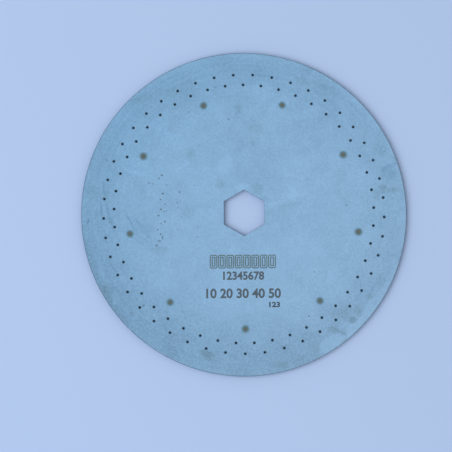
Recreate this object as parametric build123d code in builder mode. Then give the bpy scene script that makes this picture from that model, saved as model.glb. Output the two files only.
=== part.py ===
from build123d import *
import os

# A seed plate for a vacuum planter: a flat stainless disc that turns on a hexagonal hub and carries
# one seed on each of its small suction holes. The marked face is the vacuum side and looks up (+Z).
# The other face is the seed side, and nine short pins welded there stir the seed in the hopper.
# The origin is the centre of the hexagonal hole, in the marked face. +Y is the top of the marking.

# Plate, in millimetres
plate_diameter = 219.0
plate_thickness = 1.0
edge_break = 0.15

# Hexagonal drive hole, with two corners on the Y axis
hub_sides = 6
hub_across_flats = 27.2
hub_turn = 30.0
hub_corner_radius = 0.3

# Suction holes, in two rows that are staggered by half a pitch
holes_per_row = 45
rim_to_outer_row = 15.0
row_to_row = 7.0
inner_row_start = 90.0
seed_hole_diameter = 1.0
mouth_width = 0.4
mouth_angle = 90.0

# Agitator pins on the seed side, between the rows and the hub
pin_count = 9
first_pin_angle = 270.0
inner_row_to_pins = 9.5
pin_diameter = 3.0
pin_height = 3.0
pin_tip_chamfer = 0.4
weld_width = 0.6

# Places that follow from the sizes above
outer_row_radius = plate_diameter / 2 - rim_to_outer_row
inner_row_radius = outer_row_radius - row_to_row
outer_row_start = inner_row_start + 180.0 / holes_per_row
seed_hole_radius = seed_hole_diameter / 2
hole_mouth_radius = seed_hole_radius + mouth_width
pin_circle_radius = inner_row_radius - inner_row_to_pins
pin_radius = pin_diameter / 2
seed_face_height = -plate_thickness

# The plate is cut from flat sheet
with BuildPart() as seed_plate:
    with BuildSketch(Plane.XY.offset(seed_face_height)):
        Circle(plate_diameter / 2)
    extrude(amount=plate_thickness)

    # The drive hole has slightly rounded corners, as its punch leaves them
    with BuildSketch(Plane.XY.offset(seed_face_height)) as drive_hole:
        RegularPolygon(hub_across_flats / 2, hub_sides, major_radius=False, rotation=hub_turn)
        fillet(drive_hole.vertices(), radius=hub_corner_radius)
    extrude(amount=plate_thickness, mode=Mode.SUBTRACT)

    # The burr is taken off the rim and the drive hole, on both faces
    chamfer(seed_plate.faces().filter_by(Axis.Z).edges(), length=edge_break)

    # Each suction hole opens out towards the marked face
    with PolarLocations(outer_row_radius, holes_per_row, start_angle=outer_row_start):
        CounterSinkHole(seed_hole_radius, hole_mouth_radius, counter_sink_angle=mouth_angle)
    with PolarLocations(inner_row_radius, holes_per_row, start_angle=inner_row_start):
        CounterSinkHole(seed_hole_radius, hole_mouth_radius, counter_sink_angle=mouth_angle)

os.makedirs("parts", exist_ok=True)
seed_plate.part.label = "seed_plate"
export_step(seed_plate.part, "parts/seed_plate.step")

# Each agitator pin stands on the seed face, pointing away from the plate, in a collar of weld
pin_places = PolarLocations(pin_circle_radius, pin_count, start_angle=first_pin_angle).locations
for number, place in enumerate(pin_places, start=1):
    seat = Plane(origin=place.position + (0, 0, seed_face_height), z_dir=(0, 0, -1))
    with BuildPart(seat) as agitator_pin:
        Cylinder(pin_radius, pin_height, align=(Align.CENTER, Align.CENTER, Align.MIN))
        Cone(pin_radius + weld_width, pin_radius, weld_width, align=(Align.CENTER, Align.CENTER, Align.MIN))
        pin_tip = agitator_pin.faces().sort_by(Axis.Z)[0]
        chamfer(pin_tip.edges(), length=pin_tip_chamfer)
    agitator_pin.part.label = f"agitator_pin_{number}"
    export_step(agitator_pin.part, f"parts/agitator_pin_{number}.step")
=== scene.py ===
from math import cos, pi, radians, sin, tau

import bpy
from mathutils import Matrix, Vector


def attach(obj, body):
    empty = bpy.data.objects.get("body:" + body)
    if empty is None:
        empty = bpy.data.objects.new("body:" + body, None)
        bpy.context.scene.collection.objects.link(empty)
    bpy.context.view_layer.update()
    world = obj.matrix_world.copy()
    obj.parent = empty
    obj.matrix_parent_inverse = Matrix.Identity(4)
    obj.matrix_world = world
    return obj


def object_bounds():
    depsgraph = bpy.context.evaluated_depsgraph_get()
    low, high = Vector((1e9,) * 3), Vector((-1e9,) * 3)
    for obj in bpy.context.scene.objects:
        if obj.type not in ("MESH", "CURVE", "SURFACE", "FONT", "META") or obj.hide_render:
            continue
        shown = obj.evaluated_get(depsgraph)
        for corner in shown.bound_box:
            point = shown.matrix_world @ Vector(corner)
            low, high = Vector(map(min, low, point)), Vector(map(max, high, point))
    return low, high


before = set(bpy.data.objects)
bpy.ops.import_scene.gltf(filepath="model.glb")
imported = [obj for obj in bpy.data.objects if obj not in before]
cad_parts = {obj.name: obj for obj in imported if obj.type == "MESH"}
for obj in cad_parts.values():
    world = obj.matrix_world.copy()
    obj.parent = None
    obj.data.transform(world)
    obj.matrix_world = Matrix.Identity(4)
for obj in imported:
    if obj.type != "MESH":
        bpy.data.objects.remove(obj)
cad_low, cad_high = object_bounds()

# Seed plate
# The real piece is a round of cold rolled stainless sheet, cut in one piece with its hexagonal drive
# hole and drilled with two rows of fine holes. The solid has all of that form, so it stays, and this
# section gives it its finish: cloudy mill skin, dirt, wear and heat marks, with painted light and shade
# across the face and painted shade in the hole mouths and on the cut edges.

# Sizes are in millimetres, which MM turns to metres for Blender, and angles run from +X towards +Y
MM = 0.001
RIM = 109.5
OUTER_ROW = 94.5
INNER_ROW = 87.5
HOLES_PER_ROW = 45
HOLE_PITCH = tau / HOLES_PER_ROW
FIRST_HOLE = pi / 2
MOUTH_WIDTH = 0.4
PIN_CIRCLE = 78.0
PIN_COUNT = 9
PIN_PITCH = tau / PIN_COUNT
FIRST_PIN = -pi / 2
WELD_TURN = radians(0.2)
HUB_HALF_WIDTH = 27.2 / 2
HUB_FLATS = (radians(0), radians(60), radians(120))

# A stain is full out to the first share of its half width and gone at the second. It is so much flatter
# than it is wide that the stains of the marked side don't show on the seed side.
STAIN_FULL = 0.35
STAIN_GONE = 1.15
STAIN_FLATNESS = 0.05


def linear(text):
    """The linear colour that a socket holds, from an sRGB hex colour."""
    parts = [int(text[i : i + 2], 16) / 255 for i in (1, 3, 5)]
    return [c / 12.92 if c <= 0.04045 else ((c + 0.055) / 1.055) ** 2.4 for c in parts] + [1.0]


def node(tree, kind, inputs=(), **settings):
    """Adds a node. Each input is a value, a hex colour, a socket, or a node that gives its first output."""
    made = tree.nodes.new("ShaderNode" + kind)
    for name, value in settings.items():
        setattr(made, name, value)
    for place, value in inputs.items() if isinstance(inputs, dict) else enumerate(inputs):
        if isinstance(value, bpy.types.Node):
            value = next(socket for socket in value.outputs if socket.enabled)
        if isinstance(value, bpy.types.NodeSocket):
            tree.links.new(value, made.inputs[place])
        else:
            made.inputs[place].default_value = linear(value) if isinstance(value, str) else value
    return made


def empty_material(name):
    """A material with no nodes but those that give the place on the object, in millimetres."""
    material = bpy.data.materials.new(name)
    material.use_nodes = True
    tree = material.node_tree
    tree.nodes.clear()
    metres = node(tree, "TexCoord").outputs["Object"]
    return material, tree, node(tree, "VectorMath", {0: metres, 3: 1 / MM}, operation="SCALE")


def radius_and_angle(tree, point):
    """How far a point is from the plate's axis, and its angle round the axis."""
    x, y = node(tree, "SeparateXYZ", (point,)).outputs[:2]
    flat = node(tree, "CombineXYZ", (x, y, 0.0))
    radius = node(tree, "VectorMath", (flat,), operation="LENGTH")
    return radius, node(tree, "Math", (y, x), operation="ARCTAN2")


def ring_distance(tree, point, ring, first, pitch):
    """How far a point is from the nearest of the places that stand evenly on a ring, and which it is."""
    radius, angle = radius_and_angle(tree, point)
    turn = node(tree, "Math", (angle, first), operation="SUBTRACT")
    steps = node(tree, "Math", (turn, pitch), operation="DIVIDE")
    number = node(tree, "Math", (steps,), operation="ROUND")
    past = node(tree, "Math", (steps, number), operation="SUBTRACT")
    past = node(tree, "Math", (past, pitch), operation="MULTIPLY")
    along = node(tree, "Math", (past,), operation="COSINE")
    along = node(tree, "Math", (radius, along), operation="MULTIPLY")
    across = node(tree, "Math", (past,), operation="SINE")
    across = node(tree, "Math", (radius, across), operation="MULTIPLY")
    place = node(tree, "CombineXYZ", (along, across, 0.0))
    return node(tree, "VectorMath", (place, (ring, 0, 0)), operation="DISTANCE"), number


def pushed_about(tree, point, size, detail, far):
    """The place, pushed about by a cloud, so that what is drawn on it gets an uneven edge."""
    cloud = node(tree, "TexNoise", {"Vector": point, "Scale": 1 / size, "Detail": detail})
    push = node(tree, "VectorMath", (cloud.outputs["Color"], (0.5, 0.5, 0.5)), operation="SUBTRACT")
    return node(tree, "VectorMath", (push, (far, far, 0.0), point), operation="MULTIPLY_ADD")


def rim_band(tree, radius, angle, side, cosines, shares, radii):
    """A band along the rim that is strongest at one side, in degrees. It rises between two radii, and from
    one share to the other as the cosine of the angle from that side does."""
    lean = node(tree, "Math", (angle, radians(side)), operation="SUBTRACT")
    lean = node(tree, "Math", (lean,), operation="COSINE")
    share = node(tree, "MapRange", (lean, *cosines, *shares))
    band = node(tree, "MapRange", (radius, *radii, 0.0, 1.0), interpolation_type="SMOOTHSTEP")
    return node(tree, "Math", (band, share), operation="MULTIPLY")


def stained(tree, film, place, groups):
    """Adds stains to a film. Those of a group lie at one angle, in degrees, and are so many times as long
    as they are wide. Each is its place, its width and its amount, which is below zero on a clean patch."""
    for lie, stretch, stains in groups:
        way, side = cos(radians(lie)), sin(radians(lie))
        laid = {"Vector": place, "Rotation": (0, 0, radians(lie)), "Scale": (stretch, 1, STAIN_FLATNESS)}
        squeezed = node(tree, "Mapping", laid, vector_type="TEXTURE")
        for x, y, width, amount in stains:
            middle = ((x * way + y * side) / stretch, y * way - x * side, 0)
            reach = node(tree, "VectorMath", (squeezed, middle), operation="DISTANCE")
            ends = (reach, STAIN_FULL * width / 2, STAIN_GONE * width / 2, amount, 0.0)
            term = node(tree, "MapRange", ends, interpolation_type="SMOOTHSTEP")
            film = node(tree, "Math", (film, term), operation="ADD")
    return film


# Cold rolled stainless has a pale matt skin that the mill leaves a little cloudy, and every touch shows
# on it
steel, tree, point = empty_material("cold_rolled_stainless")
radius, angle = radius_and_angle(tree, point)
height = node(tree, "SeparateXYZ", (point,)).outputs["Z"]

# Large stains are drawn on a place that is pushed about far, and small ones on one that is moved little
uneven = pushed_about(tree, point, 5.0, 2.0, 4.5)
wavy = pushed_about(tree, point, 1.3, 1.0, 1.1)
uneven_radius = radius_and_angle(tree, uneven)[0]

# Dirt is how much dull film lies on the skin, from 0 to 1, and it carries a painted shade too. It starts
# as a haze with clouds of three sizes, on a painted shade that makes it a little heavier towards the upper
# left and thinner towards the lower right. The clouds are turned, because noise that lies square to the
# plate shows as a plaid.
haze_and_shade = node(tree, "VectorMath", (point, (-0.0003, 0.0006, 0.0)), operation="DOT_PRODUCT")
haze_and_shade = node(tree, "Math", (haze_and_shade, 0.13), operation="ADD")
turned = node(tree, "Mapping", {"Vector": point, "Rotation": (0.6, 0.5, 0.4)})
for size, amount, shift in ((26.0, 0.05, 0.0), (8.0, 0.03, 40.0), (3.0, 0.017, 80.0)):
    moved = node(tree, "VectorMath", (turned, (shift, shift, shift)), operation="ADD")
    cloud = node(tree, "TexNoise", {"Vector": moved, "Scale": 1 / size, "Detail": 2.0})
    term = node(tree, "MapRange", (cloud, 0.3, 0.7, -amount, amount), clamp=False)
    haze_and_shade = node(tree, "Math", (haze_and_shade, term), operation="ADD")

# The haze is also heavier or thinner in broad patches with soft edges
HAZE_PATCHES = (
    (0, 1.0, (
        (13, 84, 20, -0.10), (46, 70, 15, -0.07), (2, 38, 16, -0.04), (84, 43, 8, -0.05),
        (85, -17, 26, -0.05), (42, -70, 24, -0.05), (8, -66, 16, -0.03), (-44, -66, 14, -0.04),
        (-79, -46, 14, -0.04), (-68, 47, 12, -0.04), (-11, -15, 10, -0.06), (43, 98, 12, 0.08),
        (78, 66, 20, 0.05), (65, 24, 13, 0.08), (97, 27, 16, 0.07), (52, -43, 11, 0.06),
        (-89, -56, 9, 0.07), (-68, -77, 11, 0.07), (-51, -93, 12, 0.06), (-66, -1, 8, 0.05),
        (-42, 18, 12, 0.06), (-23, 29, 14, 0.04), (-38, 88, 12, 0.06), (-22, 62, 18, 0.04),
        (19, 15, 9, 0.05), (17, 1, 7, 0.06), (33, 12, 9, -0.07), (-29, -40, 14, 0.04),
        (36, -100, 10, 0.07),
    )),
)
haze_and_shade = stained(tree, haze_and_shade, uneven, HAZE_PATCHES)

# The film is heavier along the rim, mostly at the bottom, with a dark band near the edge at the lower left
film = rim_band(tree, uneven_radius, angle, 262, (-0.5, 1.0), (0.0, 0.15), (62.0, 98.0))
band = rim_band(tree, uneven_radius, angle, 208, (0.9, 1.0), (0.0, 0.14), (103.5, 107.5))
film = node(tree, "Math", (film, band), operation="ADD")

# They also leave finger marks and smudges, one of them behind the row of cells in the marking
DIRT_SPOTS = (
    (0, 1.0, (
        (-35.3, 40.3, 9, 0.10), (8.0, 57.5, 12, 0.10), (7.4, 48.1, 8, 0.07), (9.8, 16.6, 9, 0.10),
        (-38.0, 0.5, 11, 0.10), (76.0, -66.3, 9, 0.14), (71.9, -72.7, 7, 0.17), (62.0, -70.0, 12, 0.05),
        (67.0, -67.6, 12, 0.09), (83.3, -57.3, 6, 0.14), (91.5, -45.0, 8, 0.07), (47.0, -90.0, 9, 0.07),
        (42.0, -85.0, 14, 0.05), (-92.0, -51.0, 9, 0.10), (73.0, 73.7, 3.5, 0.12), (93.5, 42.5, 11, 0.08),
        (94.1, 16.0, 7, 0.17), (-46.0, 60.0, 14, 0.05), (-90.0, -4.0, 6, 0.16), (-64.5, -11.0, 12, 0.04),
        (32.0, -24.0, 26, -0.04), (-93.0, 13.0, 7, 0.08), (-68.0, 17.0, 8, 0.05), (62.0, -52.0, 30, -0.05),
        (104.0, 36.0, 8, 0.08), (-103.0, 15.0, 14, 0.08), (-15.6, 19.4, 9, 0.11),
    )),
    (0, 2.2, (
        (-57.0, -25.0, 7, 0.12), (-1.0, 17.5, 5, -0.10), (101.0, 15.5, 4, 0.15), (59.5, -79.2, 5, 0.14),
        (-1.2, -32.9, 11, 0.08), (-14.0, -32.9, 11, 0.08), (11.6, -32.9, 11, 0.08), (24.0, -101.5, 6, 0.12),
    )),
    (90, 2.0, (
        (-3.4, 71.6, 7, 0.09), (-4.0, 71.6, 3, 0.05), (63.6, 15.3, 6, 0.07), (89.8, 11.5, 4, 0.10),
        (-104.8, -5.3, 2.2, 0.22),
    )),
    (18, 2.4, ((-50.0, 82.0, 9, 0.09), (-68.5, 78.0, 7, 0.09), (42.0, 43.0, 7, 0.05), (25.0, 2.6, 7, 0.06))),
    (-24, 2.2, (
        (-25.0, -95.5, 7, 0.12), (39.7, 90.0, 7, 0.10), (56.0, 84.0, 12, 0.05), (15.0, 8.5, 4, 0.08),
        (64.8, -80.6, 3.4, 0.15),
    )),
    (14, 6.0, ((31.5, 5.4, 3.2, 0.07),)),
    (26, 10.0, ((-42.5, 31.2, 1.5, -0.07),)),
    (-14, 8.0, ((-73.0, 27.4, 2.4, -0.11),)),
    (-68, 2.8, ((-87.0, -26.0, 8, -0.03),)),
)
spots = stained(tree, 0.0, uneven, DIRT_SPOTS)
film = node(tree, "Math", (film, spots), operation="ADD")

# A stretch of the rim at the lower right is wiped clean, with a ragged edge. The large amounts and the
# limit at 1 make that edge sharp.
WIPED_PATCHES = (
    (34, 1.7, ((57.5, -88.2, 10.5, 4.0), (71.0, -77.3, 4.6, 3.0))),
    (46, 3.4, ((77.0, -76.5, 8, 4.0),)),
    (54, 2.6, ((84.0, -64.5, 7, 4.0), (90.5, -57.0, 6, 3.0))),
    (66, 4.0, ((98.0, -46.0, 6, 2.5),)),
)
wiped = stained(tree, 0.0, wavy, WIPED_PATCHES)
kept = node(tree, "MapRange", (wiped, 0.0, 1.0, 1.0, 0.1))
film = node(tree, "Math", (film, kept), operation="MULTIPLY")

# Drops and a wet streak that dried on the haze have left pale patches, sharp at the edge in the same way
DRIED_DROPS = (
    (75, 1.2, ((-12.2, 32.6, 11, 3.0),)),
    (14, 3.0, ((31.6, 11.5, 4.6, 3.5), (31.5, 14.2, 3.0, 2.0))),
    (14, 8.0, ((23.5, 6.9, 2.0, 2.5),)),
)
dropped = stained(tree, 0.0, wavy, DRIED_DROPS)
pale = node(tree, "MapRange", (dropped, 0.0, 1.0, 0.0, -0.035))
film = node(tree, "Math", (film, pale), operation="ADD")

# The film is grainy, and more so near the rim and where there is much of it. The real grain is finer
# than a pixel, so it is drawn coarser here.
grain = node(tree, "TexNoise", {"Vector": turned, "Scale": 1 / 1.4, "Detail": 3.0})
grain = node(tree, "MapRange", (grain, 0.3, 0.7, -1.0, 1.0), clamp=False)
strength = node(tree, "MapRange", (radius, 60.0, 100.0, 0.075, 0.09))
strength = node(tree, "Math", (film, 0.17, strength), operation="MULTIPLY_ADD")
film = node(tree, "Math", (grain, strength, film), operation="MULTIPLY_ADD")
dirt_and_shade = node(tree, "Math", (haze_and_shade, film), operation="ADD", use_clamp=True)

# Rub is where the seal of the vacuum cover turns against the plate and greys it, in a broad ring that
# is strongest at the upper left and weaker again at the very rim
rub = rim_band(tree, uneven_radius, angle, 150, (-1.0, 1.0), (0.04, 0.165), (60.0, 104.0))
worn = node(tree, "MapRange", (uneven_radius, 103.0, 109.0, 1.0, 0.7), interpolation_type="SMOOTHSTEP")
rub = node(tree, "Math", (rub, worn), operation="MULTIPLY")

# It has faint arcs in it: noise that changes quickly with the radius and slowly round the plate
flat = node(tree, "VectorMath", (point, (1, 1, 0)), operation="MULTIPLY")
unit = node(tree, "VectorMath", (flat,), operation="NORMALIZE")
layer = node(tree, "Math", (radius, 1.3), operation="DIVIDE")
layer = node(tree, "CombineXYZ", (0.0, 0.0, layer))
arcs = node(tree, "VectorMath", (unit, (2.6, 2.6, 0.0), layer), operation="MULTIPLY_ADD")
arcs = node(tree, "TexNoise", {"Vector": arcs, "Scale": 1.0, "Detail": 1.0})
arcs = node(tree, "MapRange", (arcs, 0.35, 0.65, -0.35, 0.35))
rub = node(tree, "Math", (arcs, rub, rub), operation="MULTIPLY_ADD")

# Here and there the grey is heavier or thinner. The narrow patches at the right are a smudged thumbprint.
RUB_PATCHES = (
    (0, 1.0, (
        (-67.0, -13.0, 22, 0.11), (100.6, 27.2, 10, 0.12), (55.8, 86.4, 7, 0.05), (-48.0, -52.0, 22, 0.04),
        (-68.0, 10.0, 22, 0.04), (-80.0, 16.0, 22, -0.04),
    )),
    (12, 3.6, ((101.2, 32.4, 2.6, 0.22), (102.9, 21.0, 1.4, 0.10), (20.0, 94.0, 12, 0.04))),
    (42, 3.2, ((96.0, 30.2, 2.8, 0.22), (105.6, 22.6, 1.2, 0.09))),
    (96, 2.8, ((94.6, 26.0, 2.6, 0.14), (100.3, 23.4, 1.2, 0.09))),
)
rub = stained(tree, rub, uneven, RUB_PATCHES)

# Grit under the seal has scored fine streaks, most of them at the left. The real ones are finer than a
# pixel, so they are drawn coarser here.
STREAKS = (
    (-60, 6.0, (
        (-77.4, -3.8, 1.6, 0.28), (-75.2, -8.0, 1.5, 0.22), (-71.7, -5.6, 1.6, 0.28),
        (-66.5, -12.0, 2.2, 0.07), (-74.6, -4.6, 1.3, 0.10), (-84.5, -17.0, 1.6, 0.12),
        (-69.8, -14.5, 1.4, -0.10),
    )),
    (-42, 7.0, (
        (-71.5, -19.0, 1.5, 0.09), (-67.5, -17.0, 1.5, 0.07), (-64.2, -15.5, 1.5, 0.06),
        (-88.5, -36.0, 1.6, 0.16),
    )),
    (-77, 8.0, ((-91.6, 1.5, 1.7, 0.26), (-88.4, -9.0, 1.6, 0.18), (-93.0, -15.5, 1.5, 0.16))),
    (-85, 9.0, ((-95.9, 3.0, 1.6, 0.24), (-94.4, 18.0, 1.5, 0.20), (-97.6, 27.0, 1.5, 0.10))),
    (65, 8.5, ((85.7, -51.6, 1.5, 0.24),)),
    (20, 16.0, ((-55.0, 52.0, 1.3, 0.08), (38.0, 62.0, 1.3, 0.08), (-8.0, -72.0, 1.3, 0.07))),
)
rub = stained(tree, rub, wavy, STREAKS)

# Rust and grime stand in specks, most of them in a strip left of the drive hole where something damp has
# dragged over the steel, and lie as a brownish tinge in a few of the spots
SPECKS = (
    (0, 1.0, (
        (-57.2, 23.5, 1.4, 0.55), (-63.9, 20.6, 1.4, 0.6), (-61.7, 20.0, 1.2, 0.55), (-54.7, 13.4, 1.8, 0.9),
        (-56.0, 9.2, 1.4, 0.55), (-53.1, 6.1, 1.2, 0.7), (-55.9, 2.7, 1.6, 0.7), (-54.1, 1.3, 1.3, 0.6),
        (-57.6, -1.6, 1.6, 0.75), (-53.3, -5.8, 1.5, 0.75), (-55.9, -6.9, 1.2, 0.55),
        (-58.0, -11.2, 1.4, 0.6), (-56.2, -14.1, 1.5, 0.75), (-55.0, -16.2, 1.5, 0.6),
        (-54.8, -17.3, 1.2, 0.6), (-58.9, -21.9, 1.6, 0.65), (-43.5, 14.1, 1.5, 0.6),
        (-45.0, 7.2, 1.3, 0.65), (-42.8, 8.6, 1.1, 0.35), (-44.8, 3.6, 1.1, 0.6), (-41.9, -2.4, 1.4, 0.4),
        (-31.0, -9.4, 1.1, 0.38), (-31.7, -16.2, 1.3, 0.4), (-52.0, 19.2, 1.2, 0.3),
        (-33.4, 18.7, 1.1, 0.35), (-52.3, 1.5, 1.1, 0.35), (-45.8, -7.4, 1.1, 0.25),
        (-44.8, -11.0, 1.1, 0.4), (-41.6, -11.2, 1.1, 0.25), (-10.1, 64.0, 1.6, 0.5),
        (-18.9, 85.8, 2.1, 0.35), (43.0, 22.6, 1.4, 0.27), (69.1, 4.8, 1.6, 0.45),
        (42.8, -69.7, 1.5, 0.48), (-67.8, -61.9, 2.1, 0.45), (-75.7, -66.9, 1.9, 0.4),
        (-42.0, -66.1, 2.1, 0.2), (-25.0, -94.7, 6, 0.15), (72.0, -73.0, 5, 0.10), (-4.0, 71.0, 5, 0.05),
        (-92.4, 36.4, 1.9, 0.35), (-36.9, 68.9, 1.9, 0.3), (46.9, -40.2, 1.9, 0.25), (25.2, -11.3, 3, 0.06),
    )),
    (-14, 2.0, ((-55.3, 25.8, 1.2, 0.7), (-57.0, -18.7, 1.4, 0.55), (95.2, 41.2, 1.2, 0.25))),
)
rust = stained(tree, 0.0, wavy, SPECKS)

# The clean skin is faintly blue, and less so towards the lower right, which is a painted light gradient.
# The dirt on it, with its painted shade, is a greyish green, browner in the spots, the rubbed steel under
# the seal is a darker blue, and the specks are dark grey.
# Input 0 of a Mix node is how much of its second colour shows, and inputs 6 and 7 are its two colours.
painted_light_side = node(tree, "VectorMath", (point, (0.7, -0.7, 0.0)), operation="DOT_PRODUCT")
painted_light_side = node(tree, "MapRange", (painted_light_side, -110.0, 110.0, 0.0, 1.0))
skin = node(tree, "Mix", {0: painted_light_side, 6: "#9BC9EE", 7: "#9BC1E2"}, data_type="RGBA")
greasy = node(tree, "MapRange", (spots, 0.0, 0.12, 0.0, 1.0))
grime = node(tree, "Mix", {0: greasy, 6: "#566F7C", 7: "#567270"}, data_type="RGBA")
for mask, tint in ((dirt_and_shade, grime), (rub, "#4C82AB"), (rust, "#525458")):
    skin = node(tree, "Mix", {0: mask, 6: skin, 7: tint}, data_type="RGBA")

# The back of each pin's weld shows as a round heat mark: a middle that is rusty on some and grey on
# others, then dull grey green, then teal. No two are quite the same size, and each lies a hair further
# round than its pin. On the seed side the same colours lie around the weld's collar.
round_place = pushed_about(tree, point, 1.3, 1.0, 0.4)
reach, number = ring_distance(tree, round_place, PIN_CIRCLE, FIRST_PIN + WELD_TURN, PIN_PITCH)
chance = node(tree, "TexWhiteNoise", {"W": number}, noise_dimensions="1D")
size = node(tree, "MapRange", (chance, 0.0, 1.0, 0.93, 1.03))
reach = node(tree, "Math", (reach, size), operation="DIVIDE")
collar = node(tree, "MapRange", (height, -0.9, -0.1, 1.3, 0.0))
reach = node(tree, "Math", (reach, collar), operation="SUBTRACT")
rusty = node(tree, "MapRange", (chance.outputs["Color"], 0.0, 1.0, 0.15, 0.85))
for start, end, tint, amount in (
    (1.5, 3.6, "#6B8E9C", 1.0),
    (0.4, 2.7, "#606F6E", 0.88),
    (0.2, 1.5, "#7F644B", rusty),
):
    mask = node(tree, "MapRange", (reach, start, end, amount, 0.0), interpolation_type="SMOOTHSTEP")
    skin = node(tree, "Mix", {0: mask, 6: skin, 7: tint}, data_type="RGBA")

# The wall and mouth of each suction hole are painted near black, as painted shade in the hollow, with a
# thin dull ring around it. The wall slopes at 45 degrees in the mouth, so the depth there is added to the
# distance from the hole's axis.
outer = ring_distance(tree, point, OUTER_ROW, FIRST_HOLE + HOLE_PITCH / 2, HOLE_PITCH)[0]
inner = ring_distance(tree, point, INNER_ROW, FIRST_HOLE, HOLE_PITCH)[0]
reach = node(tree, "Math", (outer, inner), operation="MINIMUM")
depth = node(tree, "Math", (0.0, height), operation="SUBTRACT")
depth = node(tree, "Math", (depth, MOUTH_WIDTH), operation="MINIMUM")
reach = node(tree, "Math", (reach, depth), operation="ADD")
for start, end, tint in ((0.9, 1.35, "#7193AB"), (0.8, 0.96, "#1A1F30")):
    mask = node(tree, "MapRange", (reach, start, end, 1.0, 0.0), interpolation_type="SMOOTHSTEP")
    skin = node(tree, "Mix", {0: mask, 6: skin, 7: tint}, data_type="RGBA")

# The cut wall of the drive hole and a hair's breadth of the faces beside it are painted dark: partly the
# dark cut edge, partly painted shade on the wall
edge = 0.0
for turn in HUB_FLATS:
    across = node(tree, "VectorMath", (point, (cos(turn), sin(turn), 0)), operation="DOT_PRODUCT")
    across = node(tree, "Math", (across,), operation="ABSOLUTE")
    edge = node(tree, "Math", (edge, across), operation="MAXIMUM")
mask = node(tree, "MapRange", (edge, HUB_HALF_WIDTH, HUB_HALF_WIDTH + 0.06, 1.0, 0.0))
skin = node(tree, "Mix", {0: mask, 6: skin, 7: "#66798A"}, data_type="RGBA")

# The last few tenths of a millimetre inside the rim and its cut edge are painted darker, at three quarters
# strength, as painted shade of the rounded edge
mask = node(tree, "MapRange", (radius, RIM - 0.6, RIM - 0.2, 0.0, 0.75))
skin = node(tree, "Mix", {0: mask, 6: skin, 7: "#5F7480"}, data_type="RGBA")

# Where dirt and the painted shade lie thick the skin is duller
rough = node(tree, "MapRange", (dirt_and_shade, 0.0, 1.0, 0.42, 0.7))

# Rolling leaves short shallow lines in the skin. The real ones are a few hundredths of a millimetre wide,
# so they are drawn coarser here.
laid = {"Vector": point, "Rotation": (0, 0, radians(20)), "Scale": (4.0, 0.6, 0.6)}
rolled = node(tree, "Mapping", laid, vector_type="TEXTURE")
rolled = node(tree, "TexNoise", {"Vector": rolled, "Scale": 1.0, "Detail": 3.0})
relief = node(tree, "Bump", {"Height": rolled, "Strength": 1.0, "Distance": 0.008 * MM})
metal = {"Base Color": skin, "Metallic": 1.0, "Roughness": rough, "Normal": relief}
node(tree, "OutputMaterial", {"Surface": node(tree, "BsdfPrincipled", metal)})
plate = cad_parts["seed_plate"]
plate.data.materials.clear()
plate.data.materials.append(steel)

# Agitator pins
# Nine short lengths of drawn stainless rod, cut square with a small chamfer and welded end on to the
# seed side of the plate, so that the seed in the hopper is kept moving. The solids stay.
PIN_TIP = -4.0
TINT_FULL = -1.2
pins, tree, point = empty_material("drawn_stainless_rod")
height = node(tree, "SeparateXYZ", (point,)).outputs["Z"]

# Drawn stainless rod is grey with fine lines along it. They are drawn coarser than the real ones, which
# are too fine to see.
lines = node(tree, "VectorMath", (point, (5.0, 5.0, 0.25)), operation="MULTIPLY")
lines = node(tree, "TexNoise", {"Vector": lines, "Scale": 1.0, "Detail": 2.0})
shade = node(tree, "MapRange", (lines, 0.3, 0.7, 0.0, 1.0))
skin = node(tree, "Mix", {0: shade, 6: "#86919A", 7: "#A3AEB6"}, data_type="RGBA")

# The seed keeps the tip bright. The weld has left its collar dull and brown, with a straw tint that
# fades along the rod.
ends = (height, PIN_TIP + 0.9, PIN_TIP + 0.2, 0.0, 0.6)
bright = node(tree, "MapRange", ends, interpolation_type="SMOOTHSTEP")
skin = node(tree, "Mix", {0: bright, 6: skin, 7: "#BCC6CD"}, data_type="RGBA")
cloud = node(tree, "TexNoise", {"Vector": point, "Scale": 1 / 0.6, "Detail": 2.0})
ragged = node(tree, "Math", (cloud, 0.5, height), operation="MULTIPLY_ADD")
for start, tint, amount in ((TINT_FULL - 0.7, "#A08C62", 0.7), (TINT_FULL - 0.3, "#54524F", 0.9)):
    ends = (ragged, start, TINT_FULL, 0.0, amount)
    mask = node(tree, "MapRange", ends, interpolation_type="SMOOTHSTEP")
    skin = node(tree, "Mix", {0: mask, 6: skin, 7: tint}, data_type="RGBA")
rough = node(tree, "MapRange", (ragged, TINT_FULL - 0.4, TINT_FULL, 0.32, 0.6))
relief = node(tree, "Bump", {"Height": lines, "Strength": 1.0, "Distance": 0.02 * MM})
metal = {"Base Color": skin, "Metallic": 1.0, "Roughness": rough, "Normal": relief}
node(tree, "OutputMaterial", {"Surface": node(tree, "BsdfPrincipled", metal)})
for name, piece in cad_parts.items():
    if name.startswith("agitator_pin"):
        piece.data.materials.clear()
        piece.data.materials.append(pins)

# Marking
# The real marking is burnt into the steel by a laser, as a thin layer of dark oxide. Its place holds
# plain cells and plain counting numbers, in four lines below the drive hole.
MARK_HEIGHT = 0.03
MERGE_DISTANCE = 0.0001


def oxide(name, dark, pale):
    """Steel that a laser has burnt to a matt dark layer, which is a little uneven in colour and height."""
    material, tree, point = empty_material(name)
    cloud = node(tree, "TexNoise", {"Vector": point, "Scale": 1 / 1.2, "Detail": 2.0})
    burnt = node(tree, "Mix", {0: cloud, 6: dark, 7: pale}, data_type="RGBA")
    relief = node(tree, "Bump", {"Height": cloud, "Strength": 1.0, "Distance": 0.02 * MM})
    layer = {"Base Color": burnt, "Roughness": 0.6, "Normal": relief}
    node(tree, "OutputMaterial", {"Surface": node(tree, "BsdfPrincipled", layer)})
    return material


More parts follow.
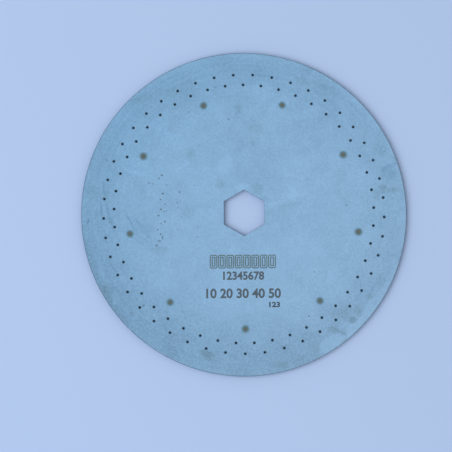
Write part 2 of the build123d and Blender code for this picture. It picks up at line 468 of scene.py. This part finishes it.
deep_oxide = oxide("deep_laser_oxide", "#414E59", "#566672")
light_oxide = oxide("light_laser_oxide", "#4A6066", "#63797F")
dense_oxide = oxide("dense_laser_oxide", "#2A333B", "#3B454D")


def finish_mark(piece, name, material):
    """Puts a finished mark on the plate with its material, as a piece of its own."""
    piece.name = name
    piece.data.materials.clear()
    piece.data.materials.append(material)
    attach(piece, "root")


def numbers(name, material, text, boldness, left_right, bottom_top):
    """A line of plain numbers that fills a box on the marked face. It is made one unit thick, so that the
    last scale gives its height."""
    bpy.ops.object.select_all(action="DESELECT")
    bpy.ops.object.text_add()
    piece = bpy.context.object
    piece.data.body = text
    piece.data.extrude = 0.5
    piece.data.offset = boldness
    bpy.ops.object.convert(target="MESH")
    bpy.ops.object.mode_set(mode="EDIT")
    bpy.ops.mesh.select_all(action="SELECT")
    bpy.ops.mesh.remove_doubles(threshold=MERGE_DISTANCE)
    bpy.ops.mesh.normals_make_consistent(inside=False)
    bpy.ops.object.mode_set(mode="OBJECT")
    low, high = Vector(piece.bound_box[0]), Vector(piece.bound_box[6])
    (left, right), (bottom, top) = left_right, bottom_top
    wide = (right - left) / (high.x - low.x)
    tall = (top - bottom) / (high.y - low.y)
    piece.scale = (wide * MM, tall * MM, MARK_HEIGHT * MM)
    piece.location = ((left - low.x * wide) * MM, (bottom - low.y * tall) * MM, MARK_HEIGHT / 2 * MM)
    bpy.ops.object.transform_apply(location=True, rotation=True, scale=True)
    finish_mark(piece, name, material)


# Each cell is a rounded outline with a smaller one inside it
CELL_COUNT = 8
CELL_PITCH = 5.6
CELL_WIDTH = 5.1
CELL_HEIGHT = 9.2
CELL_CORNER = 1.2
CELL_LINE = 0.7
CELL_LEFT = -23.3
CELL_MIDDLE = -32.9
INNER_LESS = 2.6
INNER_CORNER = 0.6


def cell_outline(width, height, corner):
    """A flat rounded outline, standing where the first cell is."""
    bpy.ops.object.select_all(action="DESELECT")
    middle = ((CELL_LEFT + CELL_WIDTH / 2) * MM, CELL_MIDDLE * MM, 0)
    bpy.ops.mesh.primitive_plane_add(size=MM, location=middle)
    piece = bpy.context.object
    piece.scale = (width, height, 1)
    bpy.ops.object.transform_apply(location=True, rotation=True, scale=True)
    bpy.ops.object.mode_set(mode="EDIT")
    bpy.ops.mesh.select_all(action="SELECT")
    bpy.ops.mesh.bevel(offset=corner * MM, segments=4, affect="VERTICES")
    bpy.ops.mesh.select_all(action="SELECT")
    bpy.ops.mesh.inset(thickness=CELL_LINE * MM)
    bpy.ops.mesh.delete(type="ONLY_FACE")
    bpy.ops.object.mode_set(mode="OBJECT")
    return piece


inner_cell = cell_outline(CELL_WIDTH - INNER_LESS, CELL_HEIGHT - INNER_LESS, INNER_CORNER)
outer_cell = cell_outline(CELL_WIDTH, CELL_HEIGHT, CELL_CORNER)
inner_cell.select_set(True)
bpy.ops.object.join()
row = outer_cell.modifiers.new("row", "ARRAY")
row.count = CELL_COUNT
row.use_relative_offset = False
row.use_constant_offset = True
row.constant_offset_displace = (CELL_PITCH * MM, 0, 0)
wall = outer_cell.modifiers.new("wall", "SOLIDIFY")
wall.thickness = MARK_HEIGHT * MM
wall.offset = 1
for modifier in ("row", "wall"):
    bpy.ops.object.modifier_apply(modifier=modifier)
finish_mark(outer_cell, "marking_cells", light_oxide)

# Each line of numbers has its own boldness, and reaches from its left to its right and its bottom to its top
numbers("marking_count", deep_oxide, "12345678", 0.032, (-14.4, 13.1), (-45.3, -39.4))
numbers("marking_tens", deep_oxide, "10 20 30 40 50", 0.03, (-25.8, 24.2), (-57.5, -50.9))
numbers("marking_small", dense_oxide, "123", 0.035, (16.3, 23.5), (-63.6, -60.0))

# Table and studio
# A plain pale table top, a broad soft light from the left and a camera nearly overhead. The plate
# lies on its pins, marked face up. The table and the lamp are large, so their sizes are in metres.
TABLE_SIZE = 8
bpy.ops.object.select_all(action="DESELECT")
bpy.ops.mesh.primitive_plane_add(size=TABLE_SIZE, location=(0, 0, cad_low.z))
floor = bpy.context.object
floor.name = "table_top"
table, tree = empty_material("matt_table_top")[:2]
surface = node(tree, "BsdfPrincipled", {"Base Color": "#B4CCF1", "Roughness": 0.9})
node(tree, "OutputMaterial", {"Surface": surface})
floor.data.materials.append(table)

# The world lights the plate softly from all sides. The camera sees a pale dome in its place, and so does
# the gloss of the steel.
world = bpy.data.worlds.new("studio")
world.use_nodes = True
bpy.context.scene.world = world
tree = world.node_tree
tree.nodes.clear()
rays = node(tree, "LightPath").outputs
seen = node(tree, "Math", (rays["Is Camera Ray"], rays["Is Glossy Ray"]), operation="MAXIMUM")
seen = node(tree, "Math", (seen, rays["Is Transmission Ray"]), operation="MAXIMUM")
light = node(tree, "Background", {"Color": "#FFFFFF", "Strength": 0.5})
sky = node(tree, "SeparateXYZ", (node(tree, "TexCoord").outputs["Generated"],))
climb = node(tree, "MapRange", (sky.outputs["Z"], 0.0, 0.8, 0.0, 1.0))
dome = node(tree, "Mix", {0: climb, 6: "#CBD1D9", 7: "#F1F3F6"}, data_type="RGBA")
backdrop = node(tree, "Background", {"Color": dome, "Strength": 1.0})
node(tree, "OutputWorld", {"Surface": node(tree, "MixShader", (seen, light, backdrop))})

# Glossy rays don't see the lamp, because its mirror image would be a bright patch on the plate
LAMP_DISTANCE = 2.5
LAMP_SIZE = 2.25
LAMP_POWER = 40
LAMP_SIDE = radians(198)
LAMP_RISE = radians(58)
lamp = bpy.data.lights.new("soft_box", "AREA")
lamp.shape = "SQUARE"
lamp.size = LAMP_SIZE
lamp.energy = LAMP_POWER
soft_box = bpy.data.objects.new("soft_box", lamp)
level, rise = LAMP_DISTANCE * cos(LAMP_RISE), LAMP_DISTANCE * sin(LAMP_RISE)
soft_box.location = (level * cos(LAMP_SIDE), level * sin(LAMP_SIDE), rise)
soft_box.rotation_euler = (-soft_box.location).to_track_quat("-Z", "Y").to_euler()
soft_box.visible_glossy = False
bpy.context.scene.collection.objects.link(soft_box)

# The camera is fitted to the suction holes, and is turned by these degrees from looking straight down
CAMERA_LENS = 110
CAMERA_SENSOR = 36
CAMERA_PLACE = (-25.64, -103.41, 923.6)
CAMERA_TURN = (5.85, -0.79, -0.4)
camera = bpy.data.cameras.new("camera")
camera.lens = CAMERA_LENS
camera.sensor_width = CAMERA_SENSOR
viewer = bpy.data.objects.new("camera", camera)
viewer.location = [along * MM for along in CAMERA_PLACE]
viewer.rotation_euler = [radians(turn) for turn in CAMERA_TURN]
bpy.context.scene.collection.objects.link(viewer)
bpy.context.scene.camera = viewer
bpy.context.scene.view_settings.view_transform = "Standard"
